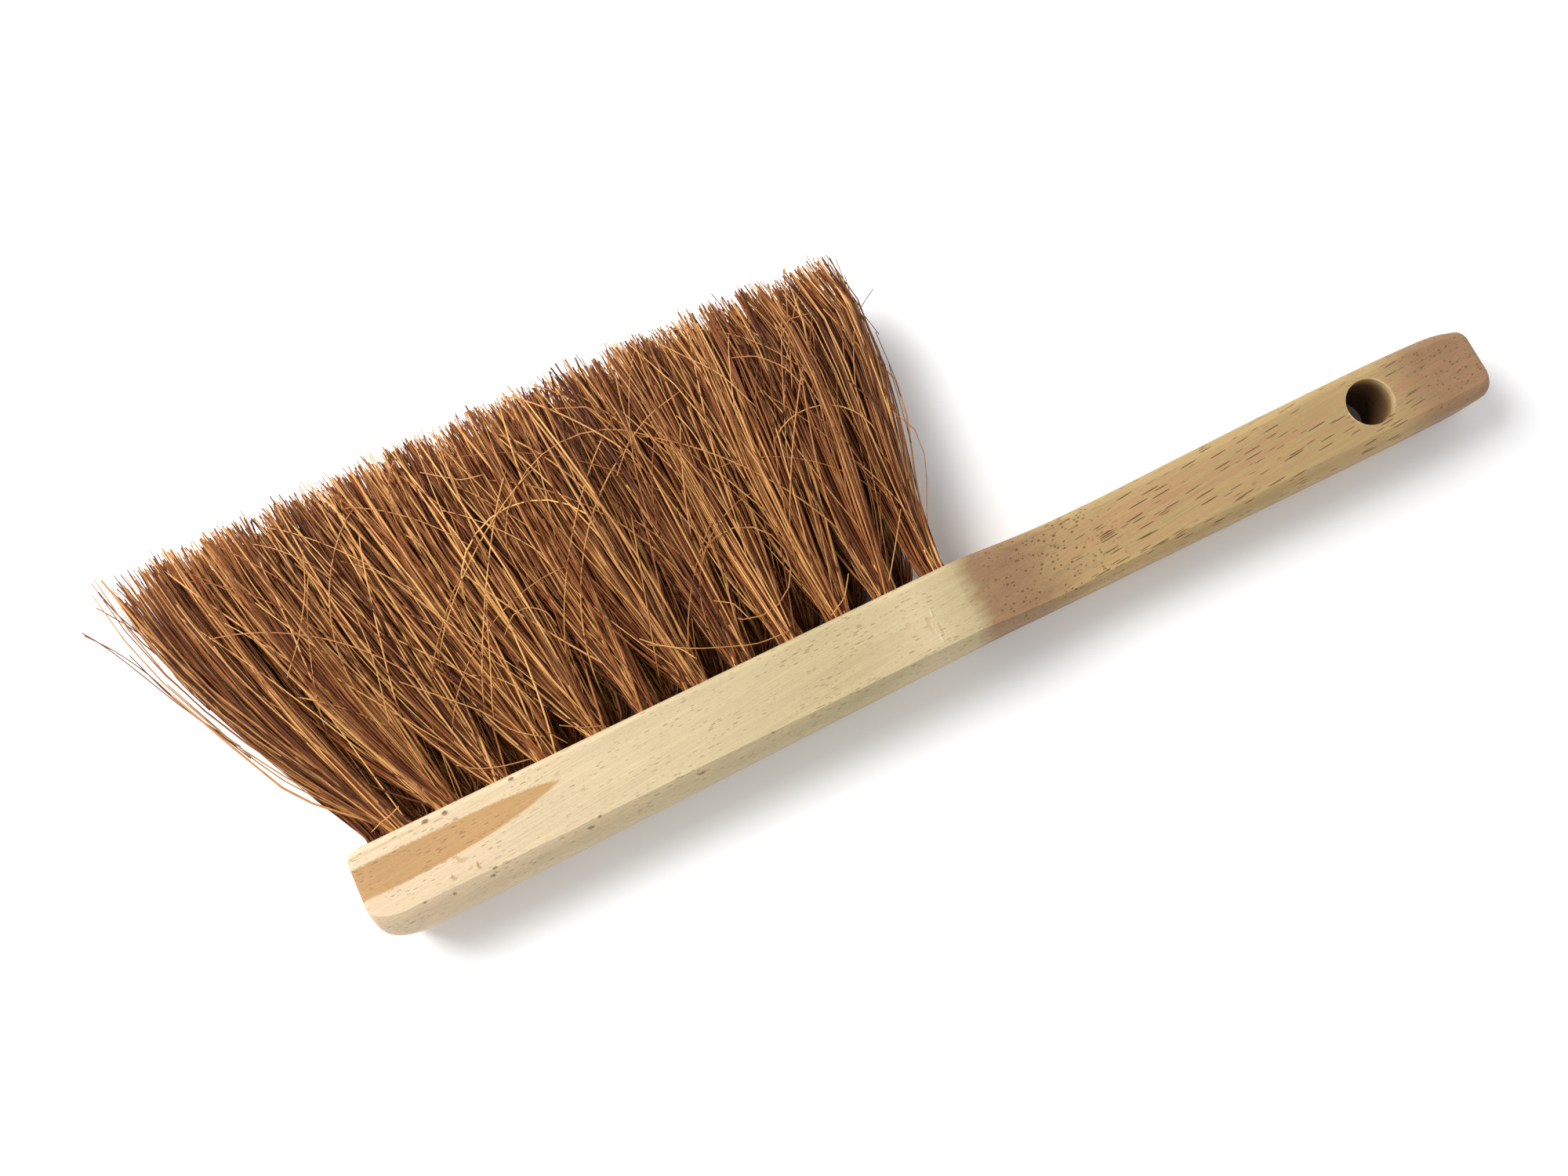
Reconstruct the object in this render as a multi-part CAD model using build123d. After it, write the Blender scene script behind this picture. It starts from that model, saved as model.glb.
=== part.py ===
"""Bee brush: one shaped wooden stock, two rows of coir tufts, each folded over a flat steel anchor.

Frame, in millimetres: the origin is on the axis of the hanging hole, at the middle of the block's
thickness.  +X runs along the brush from the bristle block towards the hanging hole, +Y is the way
the bristles point, and +Z is through the thickness, along the hanging hole.
"""
from build123d import *
from math import atan2, cos, pi, sin, sqrt
import os

# ---- wooden stock ----
BLOCK_END_X = -261.0        # free end of the bristle block
NECK_X = -108.0             # where the block ends and the neck starts to thin
HANDLE_END_X = 30.2         # end of the handle, past the hanging hole
HALF_BLOCK = 11.0           # half of the block's thickness
FACE_Y = 8.6                # the face that the bristles grow from
HANG_HOLE_R = 5.7

# Rounding of the two ends: along the brush, then across it, for the spine-side corner, the
# bristle-side corner and the two broad faces.
BLOCK_END_ROUND = {"spine": (9.0, 4.6), "face": (3.5, 1.8), "broad": (1.6, 1.3)}
HANDLE_END_ROUND = {"spine": (3.6, 3.3), "face": (2.0, 1.4), "broad": (1.6, 1.2)}
ROUND_STEPS = 9             # sections that carry an end's rounding

# Cross-sections along the stock: x, bristle-side y, spine-side y, the two broad faces' z, then how far
# each long edge is rounded over, across the face and down the side: spine side first, bristle side second.
# The lower broad face is flat from end to end, and the handle is thinned from the upper one.
REST_Z = -HALF_BLOCK
BLOCK_SECTIONS = [
    (BLOCK_END_X, FACE_Y, -14.4, HALF_BLOCK, REST_Z, 5.4, 8.0, 1.5, 1.5),
    (NECK_X, FACE_Y, -11.3, HALF_BLOCK, REST_Z, 2.6, 5.5, 1.5, 1.5),
]
HANDLE_SECTIONS = [
    (NECK_X, FACE_Y, -11.3, HALF_BLOCK, REST_Z, 2.6, 5.5, 1.5, 1.5),
    (-96.0, 8.2, -11.1, 9.0, REST_Z, 1.9, 4.6, 1.6, 1.8),
    (-83.0, 7.8, -11.1, 7.2, REST_Z, 1.8, 3.8, 1.8, 2.2),
    (-68.0, 7.8, -11.1, 6.8, REST_Z, 2.2, 3.8, 2.0, 2.5),
    (-47.0, 8.2, -11.0, 6.9, REST_Z, 2.8, 4.0, 2.2, 2.7),
    (-12.0, 8.7, -11.0, 7.0, REST_Z, 3.1, 4.2, 2.2, 2.8),
    (4.0, 8.7, -10.9, 6.9, REST_Z, 3.1, 4.2, 2.2, 2.8),
    (16.0, 8.5, -10.7, 6.5, REST_Z, 3.0, 4.0, 2.2, 2.7),
    (24.0, 7.9, -10.5, 5.9, REST_Z, 2.9, 3.7, 2.1, 2.5),
    (HANDLE_END_X, 6.4, -10.1, 5.2, REST_Z, 2.8, 3.4, 2.0, 2.3),
]

# ---- tufts, in two rows staggered along the block ----
TUFTS_PER_ROW = 12
TUFT_PITCH = 12.3
ROW_Z = 5.25                # each row's distance from the middle of the thickness
ROW_FIRST_X = {"upper": -246.7, "lower": -255.2}
ROW_SIDE = {"upper": 1, "lower": -1}
HOLE_R = 3.25
HOLE_DEPTH = 14.0
TUFT_R = 3.1                # a packed tuft just clears the wall of its hole
FREE_LENGTH = 83.0          # bristle length out of the face
LEAN_FIRST = -30.0          # sideways reach of the tips of the first tuft in a row
LEAN_LAST = 4.6             # and of the last one
LEAN_EASE = 0.8             # below 1, the lean straightens up soonest near the block's end
TIP_GAP = 0.5               # clear space left between neighbouring tufts at their tips
END_TIP_HALF_WIDTH = 7.6    # half width, at the tips, of the outer side of a row's end tufts
ROW_GAP = 0.6               # clear space between the two rows at their tips
TIP_HALF_DEPTH = {"upper": 6.6, "lower": 5.2}   # half thickness of a row's tufts at their tips
MOUTH_RUN = 1.5             # straight part of a tuft past the mouth of its hole

# ---- flat anchors that hold each folded tuft down in its hole ----
ANCHOR_LENGTH = 7.7         # longer than the hole is wide, so both ends bite into the wood
ANCHOR_HEIGHT = 2.2
ANCHOR_THICKNESS = 0.5
ANCHOR_REST = 0.9           # bristle folded under the anchor


def corner_arc(edge_start, edge_end, vertical_at_start):
    """Arc that rounds one long edge: upright where it joins the side, crisp where it meets the face."""
    across = abs(edge_end[0] - edge_start[0])
    down = abs(edge_end[1] - edge_start[1])
    radius = (across ** 2 + down ** 2) / (2 * across)
    side, face = (edge_start, edge_end) if vertical_at_start else (edge_end, edge_start)
    inward = 1 if face[0] > side[0] else -1
    centre = (side[0] + inward * radius, side[1])
    begin = atan2(0, side[0] - centre[0])
    finish = atan2(face[1] - centre[1], face[0] - centre[0])
    if finish - begin > pi:
        finish -= 2 * pi
    if begin - finish > pi:
        begin -= 2 * pi
    half_way = (begin + finish) / 2
    middle = (centre[0] + radius * cos(half_way), centre[1] + radius * sin(half_way))
    return ThreePointArc(edge_start, middle, edge_end)


def stock_section(x, face_y, spine_y, top, bottom, spine_in, spine_down, face_in, face_down):
    """Closed cross-section of the stock at x, with its upper and lower edges rounded alike."""
    plane = Plane(origin=(x, 0, 0), x_dir=(0, 1, 0), z_dir=(1, 0, 0))
    top_left = (spine_y + spine_in, top)
    top_right = (face_y - face_in, top)
    right_high = (face_y, top - face_down)
    right_low = (face_y, bottom + face_down)
    bottom_right = (face_y - face_in, bottom)
    bottom_left = (spine_y + spine_in, bottom)
    left_low = (spine_y, bottom + spine_down)
    left_high = (spine_y, top - spine_down)
    with BuildSketch(plane) as sketch:
        with BuildLine():
            Line(top_left, top_right)
            corner_arc(top_right, right_high, False)
            Line(right_high, right_low)
            corner_arc(right_low, bottom_right, True)
            Line(bottom_right, bottom_left)
            corner_arc(bottom_left, left_low, False)
            Line(left_low, left_high)
            corner_arc(left_high, top_left, True)
        make_face()
    return sketch.sketch


def between(first, second, x):
    """Section values at x, in a straight line between two sections."""
    share = (x - first[0]) / (second[0] - first[0])
    return tuple(a + (b - a) * share for a, b in zip(first, second))


def inset(rounding, distance):
    """How far an elliptical rounding stands in from the full outline, at a distance from the end."""
    along, across = rounding
    if distance >= along:
        return 0.0
    return across * (1 - sqrt(1 - ((along - distance) / along) ** 2))


def rounded_end(end, inner, rounding):
    """Sections from the middle of a stretch out to its rounded end, closest together at the tip."""
    reach = max(along for along, across in rounding.values())
    toward = 1 if inner[0] > end[0] else -1
    sections = []
    for step in range(ROUND_STEPS):
        distance = reach * (step / (ROUND_STEPS - 1)) ** 2
        values = list(between(end, inner, end[0] + toward * distance))
        values[1] -= inset(rounding["face"], distance)
        values[2] += inset(rounding["spine"], distance)
        values[3] -= inset(rounding["broad"], distance)
        values[4] += inset(rounding["broad"], distance)
        sections.append(tuple(values))
    return sections


def lean_at(number):
    """Sideways reach of the tips of tuft number 0, 1, 2... in a row."""
    share = number / (TUFTS_PER_ROW - 1)
    return LEAN_FIRST + (LEAN_LAST - LEAN_FIRST) * share ** LEAN_EASE


def root_x(row, number):
    return ROW_FIRST_X[row] + TUFT_PITCH * number


def tip_x(row, number):
    return root_x(row, number) + lean_at(number)


def hole_frame(row, number):
    """Plane at the mouth of a tuft's hole; its normal points the way the tuft leaves."""
    direction = (lean_at(number), FREE_LENGTH, 0)
    mouth = (root_x(row, number), FACE_Y, ROW_SIDE[row] * ROW_Z)
    return Plane(origin=mouth, x_dir=(FREE_LENGTH, -lean_at(number), 0), z_dir=direction)


def along_hole(row, number, distance):
    """The hole's plane, moved out of the mouth by distance, or into the wood when negative."""
    return hole_frame(row, number).offset(distance)


def tuft_hole(row, number):
    """Blind hole, run on past the slanted mouth so that it opens cleanly."""
    length = HOLE_DEPTH + 3 * HOLE_R
    return along_hole(row, number, -HOLE_DEPTH + length / 2) * Cylinder(HOLE_R, length)


def anchor(row, number):
    """Flat steel anchor across the bottom of a tuft's hole."""
    middle = -HOLE_DEPTH + ANCHOR_REST + ANCHOR_HEIGHT / 2
    return along_hole(row, number, middle) * Box(ANCHOR_LENGTH, ANCHOR_THICKNESS, ANCHOR_HEIGHT)


def row_anchors(row):
    return Compound(children=[anchor(row, number) for number in range(TUFTS_PER_ROW)])


def tip_edges(row, number):
    """Left and right limits of a tuft at its tips, half way to its neighbours."""
    here = tip_x(row, number)
    left = here - END_TIP_HALF_WIDTH
    right = here + END_TIP_HALF_WIDTH
    if number > 0:
        left = (here + tip_x(row, number - 1) + TIP_GAP) / 2
    if number < TUFTS_PER_ROW - 1:
        right = (here + tip_x(row, number + 1) - TIP_GAP) / 2
    return left, right


def tuft(row, number):
    """One tuft: packed round in its hole, then fanning out to a flattened oval at the tips."""
    foot = along_hole(row, number, -HOLE_DEPTH) * Circle(TUFT_R)
    mouth = along_hole(row, number, MOUTH_RUN) * Circle(TUFT_R)
    left, right = tip_edges(row, number)
    half_depth = TIP_HALF_DEPTH[row]
    tip_z = ROW_SIDE[row] * (ROW_GAP / 2 + half_depth)
    tip_centre = ((left + right) / 2, FACE_Y + FREE_LENGTH, tip_z)
    tip_plane = Plane(origin=tip_centre, x_dir=(1, 0, 0), z_dir=(0, 1, 0))
    tips = tip_plane * Ellipse((right - left) / 2, half_depth)
    packed = loft([foot, mouth])
    fan = loft([mouth, tips])
    return (packed + fan) - anchor(row, number)


def block():
    """Bristle block: a straight taper, with its free end rounded."""
    end, neck = BLOCK_SECTIONS
    sections = rounded_end(end, neck, BLOCK_END_ROUND) + [neck]
    return loft([stock_section(*values) for values in sections], ruled=True)


def handle():
    """Neck and handle: thinned from the upper broad face, waisted at the neck, rounded at its end."""
    end_sections = rounded_end(HANDLE_SECTIONS[-1], HANDLE_SECTIONS[-2], HANDLE_END_ROUND)
    body_sections = HANDLE_SECTIONS[:-1] + [end_sections[-1]]
    body = loft([stock_section(*values) for values in body_sections])
    end = loft([stock_section(*values) for values in end_sections], ruled=True)
    return body + end


def stock():
    """The one piece of wood: bristle block, neck and handle, with all its holes."""
    wood = block() + handle()
    wood -= Cylinder(HANG_HOLE_R, 4 * HALF_BLOCK)
    for row in ROW_SIDE:
        for number in range(TUFTS_PER_ROW):
            wood -= tuft_hole(row, number)
            wood -= anchor(row, number)
    return wood


def write_node(shape, name):
    shape.label = name
    export_step(shape, f"parts/{name}.step")


def main():
    os.makedirs("parts", exist_ok=True)
    write_node(stock(), "stock")
    for row in ROW_SIDE:
        write_node(row_anchors(row), f"anchors_{row}")
        for number in range(TUFTS_PER_ROW):
            write_node(tuft(row, number), f"tuft_{row}_{number + 1:02d}")


main()
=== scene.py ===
import math

import bmesh
import bpy
import numpy as np
from bpy.props import FloatProperty, FloatVectorProperty, IntProperty, PointerProperty
from mathutils import Matrix, Vector


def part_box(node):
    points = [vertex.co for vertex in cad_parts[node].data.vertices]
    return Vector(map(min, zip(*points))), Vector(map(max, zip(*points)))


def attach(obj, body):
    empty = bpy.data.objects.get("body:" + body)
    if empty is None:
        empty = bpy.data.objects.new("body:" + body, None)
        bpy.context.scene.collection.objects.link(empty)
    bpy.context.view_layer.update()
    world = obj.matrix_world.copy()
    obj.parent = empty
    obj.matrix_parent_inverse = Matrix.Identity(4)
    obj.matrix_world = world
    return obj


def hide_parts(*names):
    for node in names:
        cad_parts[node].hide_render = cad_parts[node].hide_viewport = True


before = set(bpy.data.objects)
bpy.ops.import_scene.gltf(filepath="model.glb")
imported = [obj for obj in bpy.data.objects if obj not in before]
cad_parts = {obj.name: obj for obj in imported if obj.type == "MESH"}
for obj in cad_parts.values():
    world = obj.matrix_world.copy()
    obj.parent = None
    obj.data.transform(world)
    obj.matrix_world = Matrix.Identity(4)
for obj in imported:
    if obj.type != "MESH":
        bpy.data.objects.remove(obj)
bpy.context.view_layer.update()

bl_info = {
    "name": "Bee Brush",
    "version": (1, 0, 0),
    "blender": (4, 5, 0),
    "location": "View3D > Sidebar > Bee Brush",
    "description": "A bee brush with a wooden stock and two rows of coir tufts",
    "category": "Add Mesh",
}

MM = 0.001
TUFT_NODES = sorted(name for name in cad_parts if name.startswith("tuft_"))
ANCHOR_NODES = [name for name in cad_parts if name.startswith("anchors_")]
STOCK_LOW, STOCK_HIGH = (tuple(c / MM for c in corner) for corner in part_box("stock"))
TABLE_Z = STOCK_LOW[2]
BLOCK_TOP_Z = STOCK_HIGH[2]
BLOCK_END_X = STOCK_LOW[0]
HANDLE_END_X = STOCK_HIGH[0]
HANG_HOLE_R = 5.7


def display(red, green, blue):
    """A colour given as it shows on a screen, 0 to 255, in the linear numbers that shaders take."""
    shares = (c / 255 for c in (red, green, blue))
    return tuple(c / 12.92 if c <= 0.04045 else ((c + 0.055) / 1.055) ** 2.4 for c in shares)


def colour(name, shown, description):
    return FloatVectorProperty(
        name=name, description=description, default=display(*shown),
        subtype="COLOR", size=3, min=0, max=1,
    )


def length(name, millimetres, description):
    return FloatProperty(
        name=name, description=description, default=millimetres * MM,
        min=0, subtype="DISTANCE", unit="LENGTH",
    )


# ---------------------------------------------------------------- settings


class BeeBrushWood(bpy.types.PropertyGroup):
    block_end: colour("Block's end", (203, 180, 148), "Palest sapwood, at the block's free end")
    block: colour("Block", (188, 170, 134), "Pale sapwood in the middle of the bristle block")
    # painted shade: a shaded copy of the block's sapwood, laid in two bands towards the neck
    block_painted_shade: colour("Block by the neck", (174, 158, 119), "Duller sapwood beside the neck")
    streak: colour("Streak", (170, 133, 87), "Darker streak at the block's free end")
    neck: colour("Neck", (141, 111, 79), "Pinkish wood where the handle slopes down")
    handle: colour("Handle", (169, 142, 97), "Golden wood of the handle")
    pink: colour("Pink grain", (158, 116, 84), "Pinker grain down the middle of the handle")
    end: colour("Handle end", (148, 116, 84), "Wood past the hanging hole")
    pore: colour("Pore", (98, 65, 34), "Open pores")
    # painted shade: the dark brown laid on the hanging hole's wall, deeper in
    bore_painted_shade: colour("Bore", (84, 56, 34), "Rough brown wall of the hanging hole")
    pore_length: length("Pore length", 8.0, "Spacing of the long pores along the grain")
    pore_width: length("Pore width", 0.4, "Spacing of the long pores across the grain")


class BeeBrushCoir(bpy.types.PropertyGroup):
    fibres: IntProperty(
        name="Fibres", description="Fibres in one tuft", default=270, min=10, max=2000,
    )
    locks: IntProperty(
        name="Locks", description="Locks that the fibres of a tuft cling into", default=17, min=1,
    )
    thickness: length("Thickness", 0.36, "Usual diameter of a fibre")
    ragged: length("Ragged ends", 1.0, "How unevenly the tips end")
    stray: IntProperty(
        name="Stray fibres", description="Fibres that cross over the tufts", default=260, min=0,
    )
    seed: IntProperty(name="Seed", description="Changes the lie of every fibre", default=11)
    dark: colour("Dark fibre", (44, 18, 7), "Darkest fibres")
    middle: colour("Middle fibre", (138, 81, 38), "Usual fibres")
    pale: colour("Pale fibre", (234, 177, 106), "Lightest fibres")
    rust: colour("Rust fibre", (134, 66, 28), "Redder fibres")


class BeeBrushStage(bpy.types.PropertyGroup):
    floor: colour("Floor", (251, 251, 251), "Plain pale floor")
    lens: FloatProperty(
        name="Lens", description="Focal length on a 36 mm wide sensor", default=28.8,
    )
    key_power: FloatProperty(
        name="Key light", description="Power of the main light", default=6.0, unit="POWER",
    )
    fill: FloatProperty(
        name="Fill", description="Strength of the light from all round", default=1.05,
    )
    zenith: FloatProperty(
        name="Overhead", description="Share of the fill that comes from overhead", default=0.2,
    )
    horizon: FloatProperty(
        name="Horizon", description="Share of the fill that comes from the horizon", default=0.6,
    )


# ---------------------------------------------------------------- shader building


class Shader:
    """A node material under construction: each call adds one node and returns its output."""

    def __init__(self, name):
        self.material = bpy.data.materials.new(name)
        self.material.use_nodes = True
        self.tree = self.material.node_tree
        self.surface = self.tree.nodes["Principled BSDF"]

    def node(self, kind, inputs=None, **settings):
        made = self.tree.nodes.new(kind)
        for key, value in settings.items():
            setattr(made, key, value)
        for key, value in (inputs or {}).items():
            self.put(made.inputs[key], value)
        return made

    def put(self, socket, value):
        if isinstance(value, bpy.types.NodeSocket):
            self.tree.links.new(value, socket)
        elif socket.type == "RGBA" and len(value) == 3:
            socket.default_value = (*value, 1)
        else:
            socket.default_value = value

    def math(self, operation, first, second=0.0, third=0.0, clamp=False):
        terms = {0: first, 1: second, 2: third}
        made = self.node("ShaderNodeMath", terms, operation=operation, use_clamp=clamp)
        return made.outputs[0]

    def step(self, value, start, end, low=0.0, high=1.0):
        """Goes smoothly from low to high as the value goes from start to end."""
        limits = {"Value": value, "From Min": start, "From Max": end, "To Min": low, "To Max": high}
        return self.node("ShaderNodeMapRange", limits, interpolation_type="SMOOTHSTEP").outputs[0]

    def millimetres(self):
        place = self.node("ShaderNodeTexCoord").outputs["Object"]
        scaled = self.node("ShaderNodeVectorMath", {0: place, "Scale": 1 / MM}, operation="SCALE")
        return scaled.outputs["Vector"]

    def stretched(self, place, factors, turn=(0, 0, 0)):
        settings = {"Vector": place, "Scale": factors, "Rotation": turn}
        return self.node("ShaderNodeMapping", settings).outputs["Vector"]

    def noise(self, place, scale, detail=3.0, roughness=0.5):
        made = self.node("ShaderNodeTexNoise", {"Vector": place, "Scale": scale, "Detail": detail})
        made.inputs["Roughness"].default_value = roughness
        return made.outputs["Fac"]

    def mix(self, share, first, second, blend="MIX"):
        made = self.node("ShaderNodeMix", data_type="RGBA", blend_type=blend)
        self.put(made.inputs["Factor"], share)
        a, b = (s for s in made.inputs if s.type == "RGBA")
        self.put(a, first)
        self.put(b, second)
        return next(s for s in made.outputs if s.type == "RGBA")

    def ramp(self, value, stops):
        made = self.node("ShaderNodeValToRGB", {"Fac": value})
        points = made.color_ramp.elements
        while len(points) < len(stops):
            points.new(0.5)
        for point, (position, shade) in zip(points, stops):
            point.position = position
            point.color = (*shade, 1)
        return made.outputs["Color"]

    def lightened(self, base, factor):
        """The colour multiplied by a number from another node."""
        levels = {"Red": factor, "Green": factor, "Blue": factor}
        grey = self.node("ShaderNodeCombineColor", levels).outputs[0]
        return self.mix(1.0, base, grey, "MULTIPLY")

    def bump(self, height, distance):
        made = self.node("ShaderNodeBump", {"Height": height, "Distance": distance, "Strength": 1.0})
        return made.outputs["Normal"]


def spot(shader, across, along, centre, radii):
    """1 at the middle of an ellipse in the XY plane, falling to 0 at its edge."""
    dx = shader.math("DIVIDE", shader.math("SUBTRACT", across, centre[0]), radii[0])
    dy = shader.math("DIVIDE", shader.math("SUBTRACT", along, centre[1]), radii[1])
    squared = shader.math("ADD", shader.math("MULTIPLY", dx, dx), shader.math("MULTIPLY", dy, dy))
    return shader.step(squared, 1.0, 0.0)


# ---------------------------------------------------------------- wood


FLECK_EDGE = 0.09    # how softly a pore ends, in cells


def flecks(shader, place, cell, largest, channel=0):
    """Strokes along the grain: each cell holds one, as large as the cell's own number says."""
    spread = shader.stretched(place, tuple(1 / size for size in cell))
    found = shader.node("ShaderNodeTexVoronoi", {"Vector": spread, "Scale": 1.0})
    own = shader.node("ShaderNodeSeparateColor", {0: found.outputs["Color"]}).outputs[channel]
    radius = shader.math("MULTIPLY", own, largest)
    return shader.step(shader.math("SUBTRACT", radius, found.outputs["Distance"]), 0.0, FLECK_EDGE)


def spots(shader, across, along, marks):
    """The strongest of several spots, each given as its centre and its radii."""
    every = [spot(shader, across, along, centre, radii) for centre, radii in marks]
    strongest = every[0]
    for one in every[1:]:
        strongest = shader.math("MAXIMUM", strongest, one)
    return strongest


# marks on the wood: the centre and the radii of each, in millimetres
KNOTS = (
    ((-241.0, 7.2), (1.1, 0.7)), ((-236.2, 7.0), (0.9, 0.65)), ((-219.6, 7.5), (0.9, 0.4)),
)
DENT_SHADE_SPOTS = (
    ((-236.3, -3.8), (1.9, 1.4)), ((-239.6, -7.0), (1.0, 1.1)), ((-233.6, -7.1), (0.7, 1.2)),
)
CREASES = (
    ((-116.9, -0.4), (0.35, 1.2)), ((-117.9, -3.0), (0.3, 0.8)), ((-117.3, -6.4), (0.4, 1.7)),
)
SMEARS = (
    ((-122.8, -0.6), (1.0, 0.9)), ((-118.3, -2.8), (0.7, 3.0)), ((-116.4, -4.4), (0.5, 2.2)),
)
EDGE_SPECKS = (
    ((-248.0, -9.2), (0.8, 0.25)), ((-241.3, -10.3), (0.5, 0.4)), ((-230.7, -9.1), (0.8, 0.3)),
    ((-232.0, -10.4), (1.0, 0.3)), ((-204.8, -9.0), (0.7, 0.3)), ((-207.6, -10.3), (1.2, 0.35)),
    ((-180.0, -10.2), (1.3, 0.3)), ((-161.4, -9.0), (0.5, 0.25)), ((-146.0, -12.4), (1.6, 0.4)),
)
GRAIN_LEAN = math.radians(5.0)
STREAK_LENGTH = 52.0
PORE_SLIDE = 11.0    # how far neighbouring rows of pores slide past each other
CREASE_PALE = display(226, 212, 178)
TORN_PALE = display(214, 186, 142)


def wood_material(wood):
    shader = Shader("raw_wood")
    place = shader.millimetres()
    parts = shader.node("ShaderNodeSeparateXYZ", {0: place}).outputs
    x, y, z = parts["X"], parts["Y"], parts["Z"]
    leaned = shader.stretched(place, (1, 1, 1), turn=(0, 0, -GRAIN_LEAN))
    grain = shader.noise(shader.stretched(leaned, (0.014, 0.36, 0.36)), 1.0, 4.0, 0.62)
    fine = shader.noise(shader.stretched(leaned, (0.07, 2.8, 2.8)), 1.0, 3.0, 0.62)
    blotch = shader.noise(shader.stretched(place, (0.06, 0.14, 0.14)), 1.0, 3.0)
    speckle = shader.noise(place, 2.4, 2.0, 0.6)
    on_handle = shader.step(x, -92.0, -72.0)
    on_end = shader.step(x, 6.0, 16.0)
    on_block = shader.step(x, -103.0, -108.0)

    # the block's pale sapwood, with two bands of painted shade towards the neck, gives way to pinker
    # wood at the neck and golden wood along the handle
    wander = shader.math("MULTIPLY_ADD", grain, 8.0, -4.0)
    along = shader.math("ADD", x, wander)
    ends = {"Value": along, "From Min": BLOCK_END_X, "From Max": HANDLE_END_X}
    share = shader.node("ShaderNodeMapRange", ends)
    reach = HANDLE_END_X - BLOCK_END_X
    places = [
        (-258, wood.block_end), (-190, wood.block), (-140, wood.block_painted_shade), (-119, wood.block),
        (-109, wood.block_painted_shade), (-104, wood.neck), (-93, wood.neck), (-76, wood.handle),
        (4, wood.handle), (14, wood.end), (30, wood.end),
    ]
    stops = [((at - BLOCK_END_X) / reach, tuple(shade)) for at, shade in places]
    base = shader.ramp(share.outputs[0], stops)
    middle = shader.step(shader.math("ABSOLUTE", shader.math("ADD", y, 1.5)), 8.5, 3.0)
    grained = shader.math("MULTIPLY", on_handle, shader.step(grain, 0.4, 0.6))
    pinker = shader.math("MULTIPLY", middle, grained)
    base = shader.mix(shader.math("MULTIPLY", pinker, 0.55), base, wood.pink)

    # a darker streak runs in from the block's free end and tapers to a point
    from_end = shader.math("SUBTRACT", x, BLOCK_END_X)
    inward = shader.math("MAXIMUM", shader.math("DIVIDE", from_end, STREAK_LENGTH), 0.0)
    lower = shader.math("MULTIPLY_ADD", shader.math("POWER", inward, 2.9), 5.7, -3.2)
    upper = shader.math("MULTIPLY_ADD", shader.math("POWER", inward, 6.0), -1.9, 4.4)
    ragged = shader.math("MULTIPLY_ADD", speckle, 0.9, -0.45)
    height = shader.math("ADD", y, ragged)
    above = shader.step(shader.math("SUBTRACT", height, lower), -0.35, 0.35)
    below = shader.step(shader.math("SUBTRACT", upper, height), -0.35, 0.35)
    ended = shader.step(inward, 1.04, 0.94)
    deep = shader.step(z, -6.0, 2.0)
    inside = shader.math("MULTIPLY", above, below)
    streak = shader.math("MULTIPLY", inside, shader.math("MULTIPLY", ended, deep))
    base = shader.mix(streak, base, wood.streak)
    line = shader.step(shader.math("ABSOLUTE", shader.math("SUBTRACT", height, 6.7)), 0.5, 0.1)
    line = shader.math("MULTIPLY", line, shader.step(x, -236.0, -248.0))
    base = shader.mix(shader.math("MULTIPLY", line, 0.35), base, wood.streak)

    # slow changes of tone along the grain, stronger on the handle, and a fine mottle all over
    swing = shader.math("MULTIPLY_ADD", on_block, -0.25, 0.5)
    lines = shader.noise(shader.stretched(leaned, (0.03, 4.0, 4.0)), 1.0, 2.0, 0.6)
    tone = shader.math("MULTIPLY_ADD", shader.math("SUBTRACT", grain, 0.5), swing, 1.0)
    tone = shader.math("MULTIPLY", tone, shader.math("MULTIPLY_ADD", fine, 0.3, 0.85))
    tone = shader.math("MULTIPLY", tone, shader.math("MULTIPLY_ADD", lines, 0.36, 0.82))
    tone = shader.math("MULTIPLY", tone, shader.math("MULTIPLY_ADD", blotch, 0.14, 0.93))
    tone = shader.math("MULTIPLY", tone, shader.math("MULTIPLY_ADD", speckle, 0.24, 0.88))
    base = shader.lightened(base, tone)

    # pores: long strokes on the handle, short ones on the block, dots where the neck cuts the grain
    slide = shader.noise(shader.stretched(leaned, (0.0, 1.0, 1.0)), 1.0, 1.0)
    slide = shader.math("MULTIPLY", slide, PORE_SLIDE)
    slid = shader.node("ShaderNodeCombineXYZ", {0: slide}).outputs[0]
    slid = shader.node("ShaderNodeVectorMath", {0: leaned, 1: slid}, operation="ADD").outputs[0]
    long_cell = (wood.pore_length / MM, wood.pore_width / MM, wood.pore_width / MM)
    on_grip = shader.math("MULTIPLY", on_handle, shader.math("MULTIPLY_ADD", on_end, -0.8, 1.0))
    dashes = shader.math("MULTIPLY", flecks(shader, slid, long_cell, 0.38), on_grip)
    ticks = shader.math("MULTIPLY", flecks(shader, place, (2.2, 0.42, 0.42), 0.42, 1), on_block)
    patchy = shader.step(blotch, 0.38, 0.56)
    ticks = shader.math("MULTIPLY", ticks, shader.math("MULTIPLY_ADD", patchy, 0.7, 0.3))
    at_neck = shader.math("MULTIPLY", shader.step(x, -108.0, -96.0), shader.step(x, -60.0, -82.0))
    cut_across = shader.math("ADD", at_neck, shader.math("MULTIPLY", on_end, 0.75), clamp=True)
    dots = shader.math("MULTIPLY", flecks(shader, leaned, (1.2, 0.75, 0.75), 0.4, 1), cut_across)
    base = shader.mix(shader.math("MULTIPLY", dashes, 0.95), base, wood.pore)
    base = shader.mix(shader.math("MULTIPLY", dots, 0.75), base, wood.pore)
    base = shader.mix(shader.math("MULTIPLY", ticks, 0.5), base, wood.pore)
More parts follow.
